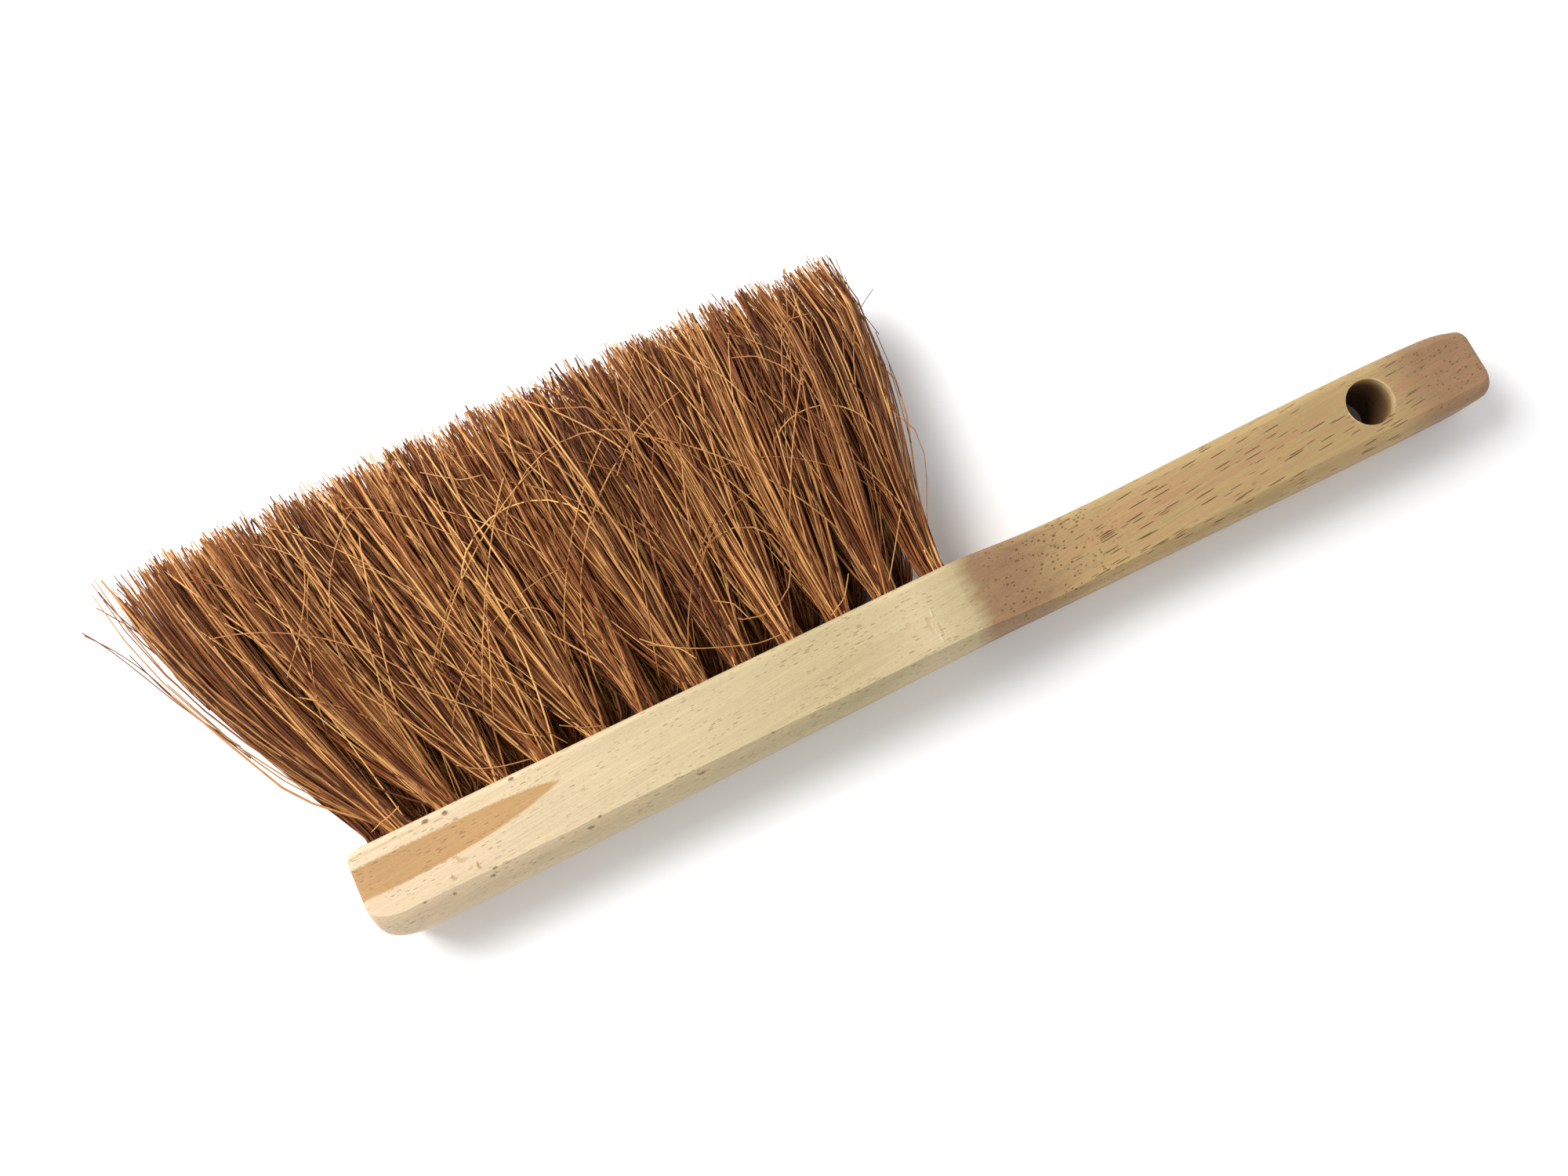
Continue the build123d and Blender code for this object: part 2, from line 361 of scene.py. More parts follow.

    # pin knots beside the bristle face, dents with a sunken crescent of painted shade on one side, a
    # crease, and specks along the spine
    on_top = shader.step(z, BLOCK_TOP_Z - 3.4, BLOCK_TOP_Z - 2.4)
    knots = shader.math("MULTIPLY", spots(shader, x, height, KNOTS), on_top)
    # painted shade: a dark crescent on one side of each dent, the dent less a shifted copy of itself
    dents = spots(shader, x, height, DENT_SHADE_SPOTS)
    shifted = shader.math("ADD", x, -0.45), shader.math("ADD", height, -0.35)
    beside = spots(shader, *shifted, DENT_SHADE_SPOTS)
    dent_shade = shader.math("MULTIPLY", shader.math("SUBTRACT", dents, beside, clamp=True), on_top)
    creases = shader.math("MULTIPLY", spots(shader, x, height, CREASES), on_top)
    smears = shader.math("MULTIPLY", spots(shader, x, height, SMEARS), on_top)
    upper_half = shader.step(z, 0.0, 2.0)
    specks = shader.math("MULTIPLY", spots(shader, x, height, EDGE_SPECKS), upper_half)
    base = shader.mix(shader.math("MULTIPLY", smears, 0.3), base, wood.streak)
    base = shader.mix(shader.math("MULTIPLY", dent_shade, 0.9), base, wood.streak)
    base = shader.mix(shader.math("MULTIPLY", creases, 0.25), base, CREASE_PALE)
    base = shader.mix(shader.math("MULTIPLY", knots, 0.85), base, wood.pore)
    base = shader.mix(shader.math("MULTIPLY", specks, 0.7), base, wood.pore)

    # painted shade darkens the hanging hole's wall to brown deeper in, and pale fibres are torn at two
    # places on its rim
    squared = shader.math("ADD", shader.math("MULTIPLY", x, x), shader.math("MULTIPLY", y, y))
    out = shader.math("SQRT", squared)
    # painted shade: the hole's wall is painted darker the deeper it goes
    wall = shader.step(out, HANG_HOLE_R + 0.1, HANG_HOLE_R + 0.02)
    depth = shader.math("ADD", z, shader.math("MULTIPLY", fine, 2.0))
    wall = shader.math("MULTIPLY", wall, shader.step(depth, 8.0, 3.0))
    base = shader.mix(shader.math("MULTIPLY", wall, 0.85), base, wood.bore_painted_shade)
    turned = shader.math("ARCTAN2", y, x)
    wide_side = shader.step(shader.math("ABSOLUTE", shader.math("SUBTRACT", turned, 0.1)), 1.3, 0.4)
    narrow_side = shader.step(shader.math("ABSOLUTE", shader.math("ADD", turned, 2.8)), 0.5, 0.2)
    worn = shader.math("ADD", out, shader.math("MULTIPLY_ADD", speckle, 1.5, -0.75))
    rim = shader.step(worn, HANG_HOLE_R + 0.5, HANG_HOLE_R + 0.2)
    chips = shader.math("MULTIPLY", rim, shader.math("MAXIMUM", wide_side, narrow_side))
    chips = shader.math("MULTIPLY", chips, shader.step(z, 5.0, 6.2))
    base = shader.mix(shader.math("MULTIPLY", chips, 0.6), base, TORN_PALE)

    shader.put(shader.surface.inputs["Base Color"], base)
    shader.put(shader.surface.inputs["Roughness"], shader.math("MULTIPLY_ADD", fine, 0.2, 0.48))
    shader.surface.inputs["Specular IOR Level"].default_value = 0.3
    hollows = shader.math("MULTIPLY", shader.math("ADD", dashes, dots), 0.8)
    for marks, depth_share in ((knots, 1.6), (dent_shade, 1.6), (smears, 0.8), (specks, 0.8)):
        hollows = shader.math("ADD", hollows, shader.math("MULTIPLY", marks, depth_share))
    relief = shader.math("SUBTRACT", shader.math("MULTIPLY", fine, 0.3), hollows)
    relief = shader.math("ADD", relief, shader.math("MULTIPLY", creases, 1.0))
    shader.put(shader.surface.inputs["Normal"], shader.bump(relief, 0.12 * MM))
    return shader.material


# ---------------------------------------------------------------- coir


def coir_material(coir):
    """Each fibre carries its own tone with painted shade at its foot (red), redness (green) and place
    along itself (blue).
    """
    shader = Shader("coir_fibre")
    fibre = shader.node("ShaderNodeAttribute", attribute_name="fibre").outputs["Color"]
    parts = shader.node("ShaderNodeSeparateColor", {0: fibre}).outputs
    tone, redness, along = parts[0], parts[1], parts[2]
    place = shader.millimetres()
    mottle = shader.noise(shader.stretched(place, (0.9, 0.16, 0.9)), 1.0, 3.0, 0.6)
    speckle = shader.noise(shader.stretched(place, (3.0, 0.9, 3.0)), 1.0, 2.0)
    tone = shader.math("ADD", tone, shader.math("MULTIPLY_ADD", mottle, 0.5, -0.25), clamp=True)
    shades = (0.0, coir.dark), (0.5, coir.middle), (1.0, coir.pale)
    gold = shader.ramp(tone, [(at, tuple(shade)) for at, shade in shades])
    share = shader.math("MULTIPLY", redness, 0.75)
    base = shader.mix(share, gold, shader.mix(0.55, gold, coir.rust))
    # painted shade: every fibre darkens towards its root at the bristle face, and a speckle mottles it
    shade = shader.step(along, 0.02, 0.2, 0.72, 1.0)
    shade = shader.math("MULTIPLY", shade, shader.math("MULTIPLY_ADD", speckle, 0.3, 0.85))
    base = shader.lightened(base, shade)
    shader.put(shader.surface.inputs["Base Color"], base)
    shader.put(shader.surface.inputs["Roughness"], shader.math("MULTIPLY_ADD", speckle, 0.3, 0.34))
    shader.surface.inputs["Specular IOR Level"].default_value = 0.28
    return shader.material


def straight_fibre(rings, sides=3):
    """A closed prism of unit radius, one unit high per step, whose rings a fibre's path then places."""
    bm = bmesh.new()
    bmesh.ops.create_circle(bm, cap_ends=True, segments=sides, radius=1.0)
    bm.faces.ensure_lookup_table()
    foot = cap = bm.faces[0]
    for _ in range(rings - 1):
        made = bmesh.ops.extrude_face_region(bm, geom=[cap])["geom"]
        if cap is not foot:
            bmesh.ops.delete(bm, geom=[cap], context="FACES_ONLY")
        cap = next(part for part in made if isinstance(part, bmesh.types.BMFace))
        bmesh.ops.translate(bm, verts=list(cap.verts), vec=(0, 0, 1))
    bmesh.ops.recalc_face_normals(bm, faces=bm.faces)
    mesh = bpy.data.meshes.new("straight_fibre")
    bm.to_mesh(mesh)
    bm.free()
    return mesh


FOOT_SHADE_SHARE = 0.45    # the part of a fibre, from its root, over which painted shade darkens its foot


def bundle(name, paths, radii, tints, material):
    """One mesh of many fibres: paths is fibres x rings x 3 in millimetres, radii fibres x rings.

    tints gives each fibre its tone, its redness and how much painted shade darkens its foot.
    """
    count, rings = paths.shape[:2]
    pattern = straight_fibre(rings)
    bm = bmesh.new()
    for _ in range(count):
        bm.from_mesh(pattern)
    mesh = bpy.data.meshes.new(name)
    bm.to_mesh(mesh)
    bm.free()
    local = np.empty(len(pattern.vertices) * 3)
    pattern.vertices.foreach_get("co", local)
    local = local.reshape(-1, 3)
    ring = np.rint(local[:, 2]).astype(int)
    bpy.data.meshes.remove(pattern)

    ahead = np.gradient(paths, axis=1)
    ahead /= np.linalg.norm(ahead, axis=2, keepdims=True)
    side = np.cross(ahead, np.array([0.0, 0.0, 1.0]))
    side /= np.linalg.norm(side, axis=2, keepdims=True)
    up = np.cross(ahead, side)
    out = local[None, :, 0, None] * side[:, ring] + local[None, :, 1, None] * up[:, ring]
    places = paths[:, ring] + radii[:, ring, None] * out
    mesh.vertices.foreach_set("co", (places * MM).ravel())
    mesh.polygons.foreach_set("use_smooth", np.ones(len(mesh.polygons), bool))
    along = ring / (rings - 1)
    tint = np.ones((count, len(ring), 4))
    # painted shade: the tone darkens towards each fibre's foot
    tint[:, :, 0] = tints[:, 0, None] * (1 - tints[:, 2, None] * np.clip(1 - along / FOOT_SHADE_SHARE, 0, 1))
    tint[:, :, 1] = tints[:, 1, None]
    tint[:, :, 2] = along[None, :]
    mesh.attributes.new("fibre", "FLOAT_COLOR", "POINT").data.foreach_set("color", tint.ravel())
    mesh.materials.append(material)
    mesh.update()
    piece = bpy.data.objects.new(name, mesh)
    bpy.context.scene.collection.objects.link(piece)
    return piece


def tuft_place(node):
    """Where a tuft's hole starts and where its tips end, in millimetres, read from its solid."""
    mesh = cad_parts[node].data
    points = np.empty(len(mesh.vertices) * 3)
    mesh.vertices.foreach_get("co", points)
    points = points.reshape(-1, 3) / MM
    foot = points[points[:, 1] < points[:, 1].min() + 1.0]
    tips = points[points[:, 1] > points[:, 1].max() - 0.3]
    fold = (foot.min(0) + foot.max(0)) / 2
    end = (tips.min(0) + tips.max(0)) / 2
    reach = (tips.max(0) - tips.min(0)) / 2
    return fold, end, reach


BRISTLE_FACE_Y = 8.6
TUFT_RADIUS = 3.1       # in the hole
FREE_STEPS = np.array([0.04, 0.1, 0.18, 0.28, 0.4, 0.53, 0.67, 0.83, 1.0])
LOOSE_SHARE = 0.38      # fibres of a tuft that belong to no lock
SHORT_SHARE = 0.07      # fibres broken off before the tips
LIFT = 0.35             # how much sooner a tuft spreads through its thickness than along it
SKIN_START_Z = 8.35     # top of the upper row at the bristle face
STRAY_RINGS = 14
TIPS = [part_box(node) for node in TUFT_NODES]
FAN_LEFT = min(low[0] for low, high in TIPS) / MM
FAN_RIGHT = max(high[0] for low, high in TIPS) / MM
TIP_Y = max(high[1] for low, high in TIPS) / MM
TIP_Z = max(high[2] for low, high in TIPS) / MM

RIGHT_EDGE = (-109.0, -99.0, -101.0)    # at the bristle face, at the belly and at the tips
LEFT_EDGE = (-257.0, -291.0)            # at the bristle face and at the tips
LEFT_HEIGHTS = (BRISTLE_FACE_Y, 12.0, 25.0, 43.6, 70.0, 92.0)
LEFT_OUTLINE = (-258.6, -260.0, -267.0, -276.0, -288.0, -296.0)
LEFT_BOWS = (
    ((-276.6, 43.6), (-286, 58.7), (-292, 70.5), (-297.5, 80.7), (-301, 85.5)),
    ((-276.6, 43.6), (-283, 54), (-289.5, 69), (-295, 78), (-300, 84)),
    ((-279.5, 54.4), (-283.6, 63.8), (-286, 75.6), (-291, 83.6), (-295, 89)),
    ((-279.4, 62.8), (-285.4, 74), (-291, 84.5), (-293.5, 92.8)),
    ((-285.7, 78.7), (-287.7, 87.3), (-289.6, 92)),
    ((-275, 39.7), (-281, 51), (-287, 62), (-292, 75)),
)
RIGHT_WISPS = (
    ((-100.7, 88.8), (-101, 82.6), (-100.5, 72.6)), ((-97.7, 83.8), (-98.7, 79), (-99.4, 75)),
    ((-93, 77.6), (-95.6, 76), (-98.5, 74), (-100, 72.4)), ((-98, 88), (-99.3, 78)),
    ((-102.7, 82), (-102.4, 74)), ((-97, 66.4), (-98.3, 71.6)),
    ((-99.3, 50), (-98.4, 56), (-97.7, 67)), ((-102.5, 38.5), (-100.7, 47.5), (-98.8, 57.7)),
    ((-102.6, 91.5), (-104.5, 78.6)),
)
LOOPS = (
    ((-208, 38), (-204, 42), (-200, 42), (-196.5, 39), (-196, 35)),
    ((-234, 39), (-227, 32), (-219, 24), (-215, 17), (-209, 13)),
    ((-230, 16), (-226, 13), (-220, 11), (-213.5, 9.8)), ((-209, 24), (-209, 15), (-205, 9.5)),
    ((-205, 14), (-200, 11), (-196, 9.6)), ((-237, 59), (-237, 50), (-238, 42), (-240, 31)),
    ((-242, 77), (-245, 68), (-251, 58), (-257, 51)), ((-210, 82), (-202, 76), (-197, 75)),
    ((-180, 24), (-177, 21), (-172.5, 18), (-170, 14)),
    ((-253.5, 10.6), (-250.6, 11.7), (-248, 12.2), (-245.6, 13.2)),
    ((-132, 75), (-126.5, 73), (-121.6, 67.5), (-119.5, 61)),
    ((-146.5, 73), (-155.6, 71), (-163, 67), (-168.5, 61)),
    ((-149.5, 90), (-142.6, 81), (-136, 72.5), (-132, 61.6)),
    ((-160.7, 24.5), (-156.8, 22), (-155, 17)), ((-179, 22), (-169.6, 16.4), (-156, 11), (-148, 10.6)),
    ((-129.7, 16.7), (-133, 12), (-137.6, 9.6)), ((-112, 25), (-116.5, 18.5), (-122, 11)),
    ((-176.6, 82.6), (-167.6, 79), (-164.5, 72)), ((-119.4, 74), (-115.8, 77.5), (-110.8, 76.7)),
)


def in_disc(rng, count):
    """Points spread evenly over a disc of radius 1."""
    turn = rng.uniform(0, 2 * math.pi, count)
    out = np.sqrt(rng.uniform(0, 1, count))
    return np.stack([out * np.cos(turn), out * np.sin(turn)], 1)


def inside_fan(rng, tips):
    """Tips that would stand out past either end of the fan turn back into it."""
    slack = np.abs(rng.normal(0, 1.6, tips.shape))
    tips = np.where(tips < FAN_LEFT, FAN_LEFT + slack, tips)
    return np.where(tips > FAN_RIGHT, FAN_RIGHT - slack, tips)


def tuft_paths(node, coir, rng, share):
    """The lie of every fibre in a tuft. share says where the tuft stands in its row, from 0 to 1."""
    fold, end, reach = tuft_place(node)
    upper_row = fold[2] > 0
    count = coir.fibres
    ragged = coir.ragged / MM
    rise = (BRISTLE_FACE_Y - fold[1]) / (end[1] - fold[1])
    mouth = np.array([fold[0] + (end[0] - fold[0]) * rise, BRISTLE_FACE_Y, fold[2]])
    lock_root = in_disc(rng, coir.locks) * 0.85
    lock_tip = lock_root * (0.8, 0.9) + rng.normal(0, (0.5, 0.25), (coir.locks, 2))
    lock_bend = rng.normal(0, 1.4, (coir.locks, 2))
    lock_end = rng.normal(0, ragged * 0.6, coir.locks)
    lock_tone = rng.normal(0.52 - 0.13 * share, 0.14, coir.locks)
    lock = rng.integers(0, coir.locks, count)
    loose = rng.uniform(0, 1, count) < LOOSE_SHARE
    loosened = int(loose.sum())

    root = lock_root[lock] + rng.normal(0, 0.2, (count, 2))
    root[loose] = in_disc(rng, loosened)
    root /= np.maximum(1.0, np.linalg.norm(root, axis=1, keepdims=True))
    tip = lock_tip[lock] + rng.normal(0, (0.22, 0.2), (count, 2))
    tip[loose] = rng.normal(0, (1.05, 0.6), (loosened, 2))
    tip[:, 1] = np.clip(tip[:, 1], -1.0, 1.0)
    bend = lock_bend[lock] + rng.normal(0, (1.1, 0.5), (count, 2))
    bend[loose] *= 1.8
    if share in (0, 1):
        bend *= 0.4
    wave = rng.normal(0, 0.4, (count, 2))
    phase = rng.uniform(0, 2 * math.pi, count)
    ends = end[1] + lock_end[lock] + rng.normal(0, ragged * 0.7, count) - rng.exponential(0.9, count)
    ends = np.minimum(ends, TIP_Y + 1.2) - 2.4 * share**5
    short = rng.uniform(0, 1, count) < SHORT_SHARE
    ends[short] -= rng.uniform(3, 36, int(short.sum()))

    start = mouth + np.stack([root[:, 0], np.zeros(count), root[:, 1]], 1) * TUFT_RADIUS
    goal = end + np.stack([tip[:, 0] * reach[0], ends - end[1], tip[:, 1] * reach[2]], 1)
    goal[:, 0] = inside_fan(rng, goal[:, 0])
    swell = 0.5 - 0.62 * share
    step = FREE_STEPS[None, :]
    run = step + swell * step * (1 - step)
    lift = step + LIFT * step * (1 - step)
    # the lower row splays at once past its holes, and the outermost tufts don't splay outwards
    quick = rng.uniform(-1, 1, count) * np.where(rng.uniform(0, 1, count) < 0.7, 7.2, 0.8)
    if upper_row:
        quick *= 0.2
    if share == 0:
        quick = np.abs(quick) * (0.0 if upper_row else 0.9)
    if share == 1 and upper_row:
        quick = -np.abs(quick)
    belly = 5.2 * share**5 * (0.7 + 0.3 * root[:, 0, None]) * step**3 * (1 - step) / 0.105
    arch = np.sin(math.pi * step)
    ripple = np.sin(2 * math.pi * step * 1.3 + phase[:, None]) * step
    across, out, through = np.split((goal - start)[:, :, None], 3, axis=1)
    free = np.empty((count, len(FREE_STEPS), 3))
    free[:, :, 0] = start[:, 0, None] + across[:, 0] * run + bend[:, 0, None] * arch
    free[:, :, 0] += wave[:, 0, None] * ripple
    free[:, :, 0] += quick[:, None] * (1 - np.exp(-step / 0.08)) * (1 - step) + belly
    free[:, :, 1] = start[:, 1, None] + out[:, 0] * step
    free[:, :, 2] = start[:, 2, None] + through[:, 0] * lift + bend[:, 1, None] * arch * 0.6
    free[:, :, 2] += wave[:, 1, None] * ripple * 0.6
    packed = np.stack([root[:, 0], np.zeros(count), root[:, 1] * 0.5], 1) * 2.3
    middle = fold + np.array([0.0, 0.9, 0.0]) + packed
    below_mouth = middle * 0.15 + start * 0.85
    held = np.stack([middle, below_mouth, start], axis=1)
    paths = np.concatenate([held, free], axis=1)

    radius = coir.thickness / MM / 2 * np.clip(rng.lognormal(0, 0.36, count), 0.45, 1.9)
    radii = radius[:, None] * rng.uniform(0.9, 1.1, (count, paths.shape[1]))
    radii[:, -1] *= 0.7
    paths[:, :, 2] = np.maximum(paths[:, :, 2], TABLE_Z + 0.35)
    if share == 0:
        outline = np.interp(paths[:, :, 1], LEFT_HEIGHTS, LEFT_OUTLINE)
        outline += np.abs(rng.normal(0, 0.8, (count, 1)))
        paths[:, 3:, 0] = np.maximum(paths[:, 3:, 0], outline[:, 3:])
    tone = lock_tone[lock] + rng.normal(0, 0.36, count)
    redness = rng.uniform(0, 1, count)
    # painted shade at the feet of the lower row, between and under the upper tufts
    foot_shade = np.full(count, 0.0 if upper_row else 0.8)
    return paths, radii, np.clip(np.stack([tone, redness, foot_shade], 1), 0, 1)


def skin_height(y):
    """How high the outermost fibres of the upper row lie, from the bristle face to the tips."""
    out = np.clip((y - BRISTLE_FACE_Y) / (TIP_Y - BRISTLE_FACE_Y), 0, 1)
    return SKIN_START_Z + (TIP_Z - SKIN_START_Z) * (out + LIFT * out * (1 - out))


def stray_paths(coir, rng):
    """Fibres that have worked loose and lie across the tufts, on both broad sides of the brush."""
    rings = STRAY_RINGS
    places = [tuft_place(node) for node in TUFT_NODES]
    paths = []
    while len(paths) < coir.stray:
        fold, end, _ = places[rng.integers(0, len(places))]
        low = rng.uniform(0.03, 0.7)
        heading = math.atan2(end[0] - fold[0], end[1] - fold[1]) + rng.normal(0, 0.28)
        curl = rng.normal(0, 1 / 110) if rng.uniform() < 0.85 else rng.normal(0, 1 / 26)
        reached = rng.uniform(18, 70) / (rings - 1)
        turned = heading + curl * reached * np.arange(rings)
        x = fold[0] + (end[0] - fold[0]) * low + rng.normal(0, 3.0)
        x = x + np.cumsum(np.sin(turned)) * reached
        y = BRISTLE_FACE_Y + (TIP_Y - BRISTLE_FACE_Y) * low + np.cumsum(np.cos(turned)) * reached
        right = np.interp(y, (BRISTLE_FACE_Y, 70, TIP_Y), RIGHT_EDGE)
        left = np.interp(y, (BRISTLE_FACE_Y, TIP_Y), LEFT_EDGE)
        if y.min() < 12 or y.max() > TIP_Y or (x > right).any() or (x < left).any():
            continue
        sunk = 2.2 * (2 * np.arange(rings) / (rings - 1) - 1) ** 6    # both ends dip into the tufts
        if fold[2] > 0:
            z = skin_height(y) + rng.uniform(-0.9, 0.5) - sunk
        else:
            z = TABLE_Z + 0.3 + rng.uniform(0, 1.5) + 1.6 * (1 - np.clip(y / TIP_Y, 0, 1)) + sunk
        paths.append(np.stack([x, y, z], 1))
    paths = np.array(paths)
    count = len(paths)
    width = np.clip(rng.lognormal(-0.22, 0.2, (count, 1)), 0.5, 1.3)
    radii = coir.thickness / MM / 2 * width * np.ones((1, rings))
    tints = np.stack([rng.normal(0.76, 0.2, count), rng.uniform(0, 1, count), np.zeros(count)], 1)
    paths[:, :, 2] = np.maximum(paths[:, :, 2], TABLE_Z + 0.3)
    return paths, radii, np.clip(tints, 0, 1)


def rounded_route(corners, rings):
    """An even run of points along a route of corners, with the corners rounded off."""
    steps, roundings = 60, 24
    corners = np.array(corners, float)
    passed = np.concatenate([[0], np.cumsum(np.linalg.norm(np.diff(corners, axis=0), axis=1))])
    even = np.linspace(0, passed[-1], steps + 1)
    route = np.stack([np.interp(even, passed, column) for column in corners.T], 1)
    for _ in range(roundings):
        route[1:-1] = (route[:-2] + 2 * route[1:-1] + route[2:]) / 4
    return route[np.linspace(0, steps, rings).astype(int)]


def laid_paths(coir, rng):
    """The few fibres that stand out: bows at the left end, dark wisps at the right, loops on top."""
    rings = STRAY_RINGS
    paths, tones, widths = [], [], []
    slope = np.linspace(-0.6, 0.6, rings)
    for routes, level, tone, width in ((LEFT_BOWS, 3.0, 0.3, 0.9), (RIGHT_WISPS, 9.0, 0.12, 0.6)):
        for corners in routes:
            route = rounded_route(corners, rings)
            paths.append(np.column_stack([route, level + rng.uniform(-1, 1) + slope]))
            tones.append(tone)
            widths.append(width)
    for corners in LOOPS:
        route = rounded_route(corners, rings)
        paths.append(np.column_stack([route, skin_height(route[:, 1]) + rng.uniform(0.3, 0.8)]))
        tones.append(0.8)
        widths.append(0.8)
    paths = np.array(paths)
    radii = coir.thickness / MM / 2 * np.array(widths)[:, None] * np.ones((1, rings))
    count = len(paths)
    tones = np.array(tones) + rng.normal(0, 0.1, count)
    tints = np.stack([tones, rng.uniform(0, 1, count), np.zeros(count)], 1)
    return paths, radii, np.clip(tints, 0, 1)


# ---------------------------------------------------------------- operators


class BEEBRUSH_OT_stock(bpy.types.Operator):
    """Give the wooden stock its grain, pores, streak and knots"""

    bl_idname = "beebrush.stock"
    bl_label = "Finish the Stock"

    def execute(self, context):
        material = wood_material(context.scene.bee_brush_wood)
        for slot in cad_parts["stock"].material_slots:
            slot.material = material
        return {"FINISHED"}


class BEEBRUSH_OT_anchors(bpy.types.Operator):
    """Give the flat steel anchors their drawn and rolled surface"""

    bl_idname = "beebrush.anchors"
    bl_label = "Finish the Anchors"

    def execute(self, context):
        shader = Shader("anchor_steel")
        place = shader.millimetres()
        drawn = shader.noise(shader.stretched(place, (0.4, 9.0, 9.0)), 1.0, 3.0)
        greys = [(0.3, display(120, 118, 114)), (0.7, display(176, 174, 170))]
        shader.put(shader.surface.inputs["Base Color"], shader.ramp(drawn, greys))
        shader.put(shader.surface.inputs["Roughness"], shader.math("MULTIPLY_ADD", drawn, 0.3, 0.25))
        shader.surface.inputs["Metallic"].default_value = 1.0
        shader.put(shader.surface.inputs["Normal"], shader.bump(drawn, 0.01 * MM))
        for node in ANCHOR_NODES:
            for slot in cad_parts[node].material_slots:
                slot.material = shader.material
        return {"FINISHED"}


class BEEBRUSH_OT_tufts(bpy.types.Operator):
    """Fill every hole with its tuft of coir"""

    bl_idname = "beebrush.tufts"
    bl_label = "Fill the Tufts"

    def execute(self, context):
        coir = context.scene.bee_brush_coir
        material = coir_material(coir)
        row_length = len(TUFT_NODES) // 2
        for index, node in enumerate(TUFT_NODES):
            rng = np.random.default_rng(coir.seed * 1000 + index)
            share = (index % row_length) / (row_length - 1)
            paths, radii, tints = tuft_paths(node, coir, rng, share)
            piece = bundle("coir_" + node, paths, radii, tints, material)
            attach(piece, "root")
            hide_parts(node)
        return {"FINISHED"}


class BEEBRUSH_OT_strays(bpy.types.Operator):
    """Lay loose fibres across the tufts"""

    bl_idname = "beebrush.strays"
    bl_label = "Add Stray Fibres"

    def execute(self, context):
        coir = context.scene.bee_brush_coir
        rng = np.random.default_rng(coir.seed)
        material = bpy.data.materials["coir_fibre"]
        parts = zip(stray_paths(coir, rng), laid_paths(coir, rng))
        piece = bundle("stray_fibres", *(np.concatenate(pair) for pair in parts), material)
        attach(piece, "root")
        return {"FINISHED"}


CAMERA_PLACE = Vector((-158.7, -28.65, 296.9)) * MM
CAMERA_RIGHT = Vector((0.9006, -0.4336, -0.0299))
CAMERA_BACK = Vector((-0.0479, -0.1673, 0.9847))
BRUSH_MIDDLE = Vector((-0.14, 0.02, 0.0))
KEY_LIGHT_FROM = Vector((-0.30, 0.37, 0.48))    # from the middle of the brush
KEY_LIGHT_SIZE = 0.42
FLOOR_HALF_WIDTH = 3.0


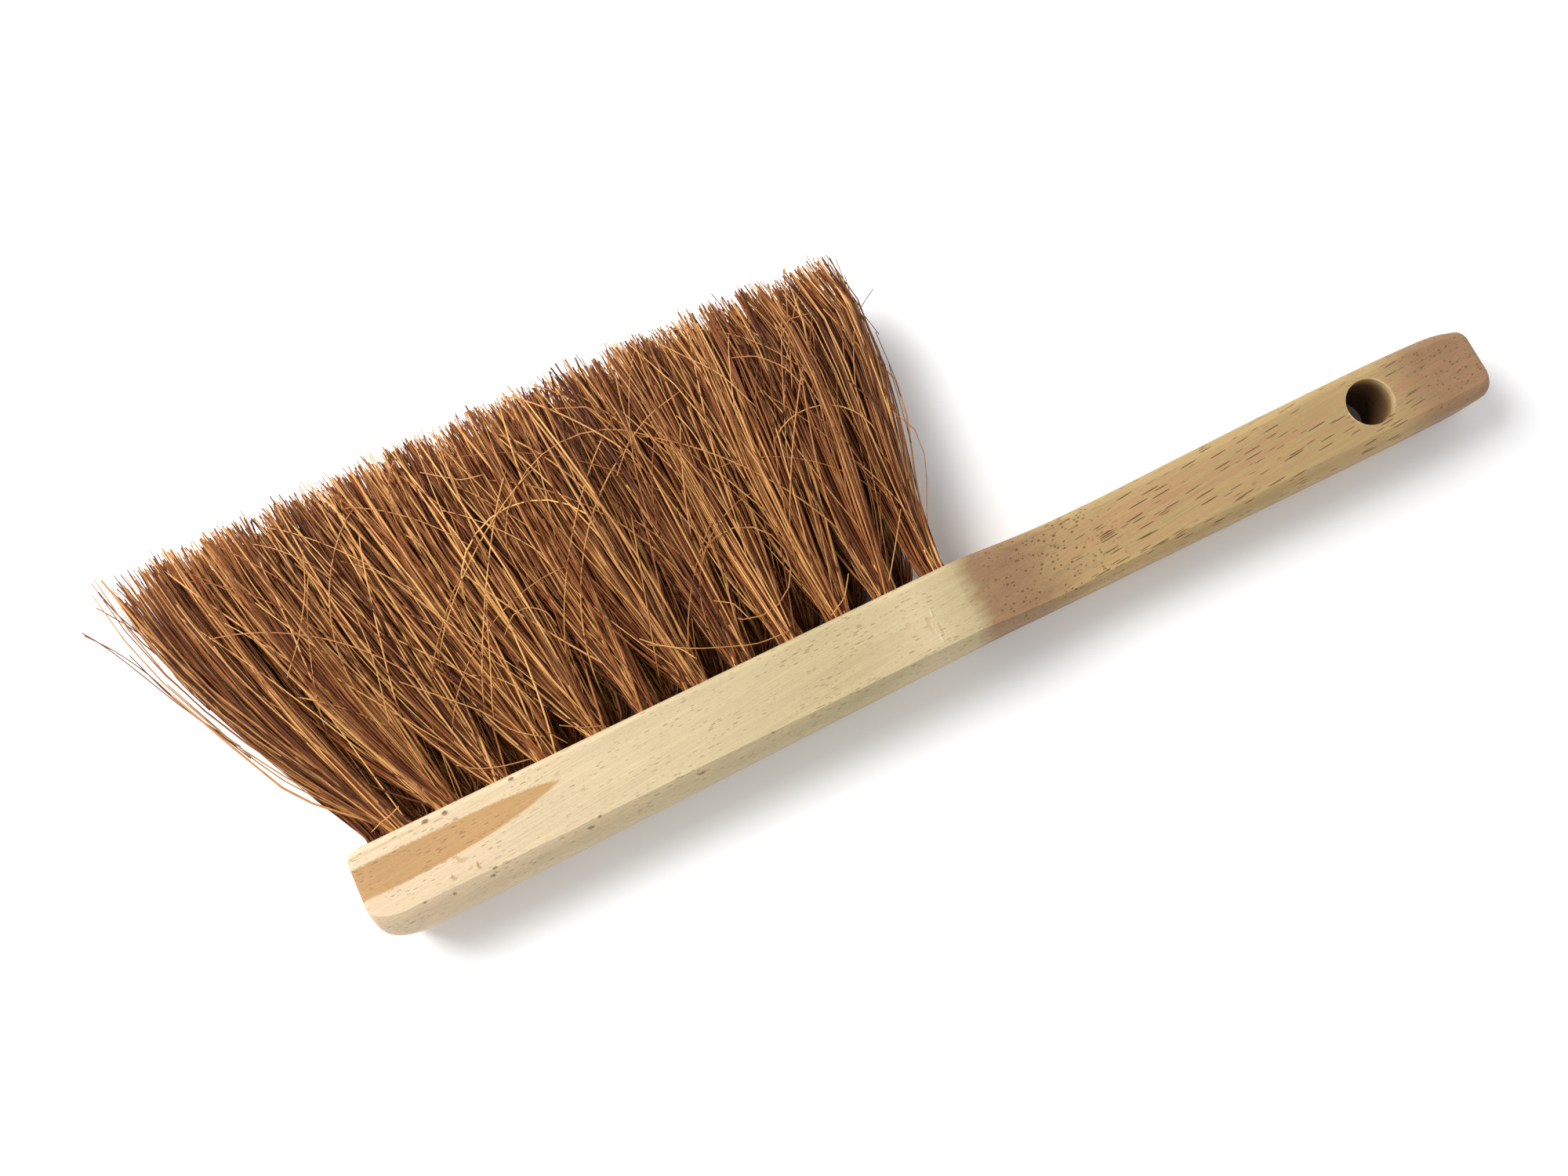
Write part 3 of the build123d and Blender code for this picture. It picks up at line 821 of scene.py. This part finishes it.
class BEEBRUSH_OT_stage(bpy.types.Operator):
    """Set the floor, the lights and the camera"""

    bl_idname = "beebrush.stage"
    bl_label = "Set the Stage"

    def execute(self, context):
        stage = context.scene.bee_brush_stage
        self.floor(context, stage)
        self.lights(context, stage)
        self.camera(context, stage)
        context.scene.view_settings.view_transform = "Standard"
        return {"FINISHED"}

    def floor(self, context, stage):
        bm = bmesh.new()
        under = Matrix.Translation((-0.1, 0.0, TABLE_Z * MM))
        bmesh.ops.create_grid(bm, x_segments=1, y_segments=1, size=FLOOR_HALF_WIDTH, matrix=under)
        mesh = bpy.data.meshes.new("floor")
        bm.to_mesh(mesh)
        bm.free()
        shader = Shader("floor_paper")
        shader.surface.inputs["Base Color"].default_value = (*stage.floor, 1)
        shader.surface.inputs["Roughness"].default_value = 0.9
        shader.surface.inputs["Specular IOR Level"].default_value = 0.1
        mesh.materials.append(shader.material)
        floor = bpy.data.objects.new("floor", mesh)
        context.scene.collection.objects.link(floor)

    def lights(self, context, stage):
        world = bpy.data.worlds.new("soft_room")
        context.scene.world = world
        world.use_nodes = True
        tree = world.node_tree
        heading = tree.nodes.new("ShaderNodeTexCoord")
        split = tree.nodes.new("ShaderNodeSeparateXYZ")
        tree.links.new(heading.outputs["Generated"], split.inputs[0])
        ramp = tree.nodes.new("ShaderNodeValToRGB")
        tree.links.new(split.outputs["Z"], ramp.inputs["Fac"])
        levels = ramp.color_ramp.elements
        for share in (0.35, 0.6):
            levels.new(share)
        heights = ((0.0, stage.horizon), (0.35, 1.0), (0.6, 1.0), (0.93, stage.zenith))
        for level, (height, strength) in zip(levels, heights):
            level.position, level.color = height, (strength, strength, strength, 1)
        background = tree.nodes["Background"]
        tree.links.new(ramp.outputs["Color"], background.inputs["Color"])
        background.inputs["Strength"].default_value = stage.fill
        lamp = bpy.data.lights.new("key_light", "AREA")
        lamp.size = KEY_LIGHT_SIZE
        lamp.energy = stage.key_power
        light = bpy.data.objects.new("key_light", lamp)
        light.location = KEY_LIGHT_FROM + BRUSH_MIDDLE
        light.rotation_euler = (-KEY_LIGHT_FROM).to_track_quat("-Z", "Y").to_euler()
        light.visible_camera = False
        context.scene.collection.objects.link(light)

    def camera(self, context, stage):
        right = CAMERA_RIGHT.normalized()
        back = CAMERA_BACK.normalized()
        up = back.cross(right).normalized()
        right = up.cross(back)
        lens = bpy.data.cameras.new("camera")
        lens.sensor_width = 36.0
        lens.lens = stage.lens
        lens.clip_start = 0.01
        camera = bpy.data.objects.new("camera", lens)
        turned = Matrix((right, up, back)).transposed().to_4x4()
        camera.matrix_world = Matrix.Translation(CAMERA_PLACE) @ turned
        context.scene.collection.objects.link(camera)
        context.scene.camera = camera


class BEEBRUSH_PT_panel(bpy.types.Panel):
    """Lists the making of the bee brush, in order"""

    bl_idname = "BEEBRUSH_PT_panel"
    bl_label = "Bee Brush"
    bl_space_type = "VIEW_3D"
    bl_region_type = "UI"
    bl_category = "Bee Brush"

    def draw(self, context):
        for group in GROUPS:
            box = self.layout.box()
            settings = getattr(context.scene, group)
            for name in settings.__annotations__:
                box.prop(settings, name)
        for step in STEPS:
            self.layout.operator(step.bl_idname)


GROUPS = {
    "bee_brush_wood": BeeBrushWood,
    "bee_brush_coir": BeeBrushCoir,
    "bee_brush_stage": BeeBrushStage,
}
STEPS = (
    BEEBRUSH_OT_stock, BEEBRUSH_OT_anchors, BEEBRUSH_OT_tufts, BEEBRUSH_OT_strays, BEEBRUSH_OT_stage,
)
CLASSES = (*GROUPS.values(), *STEPS, BEEBRUSH_PT_panel)


def register():
    for kind in CLASSES:
        bpy.utils.register_class(kind)
    for name, group in GROUPS.items():
        setattr(bpy.types.Scene, name, PointerProperty(type=group))


def unregister():
    for name in GROUPS:
        delattr(bpy.types.Scene, name)
    for kind in reversed(CLASSES):
        bpy.utils.unregister_class(kind)


def main():
    register()
    bpy.ops.beebrush.stock()
    bpy.ops.beebrush.anchors()
    bpy.ops.beebrush.tufts()
    bpy.ops.beebrush.strays()
    bpy.ops.beebrush.stage()


if __name__ == "__main__":
    main()
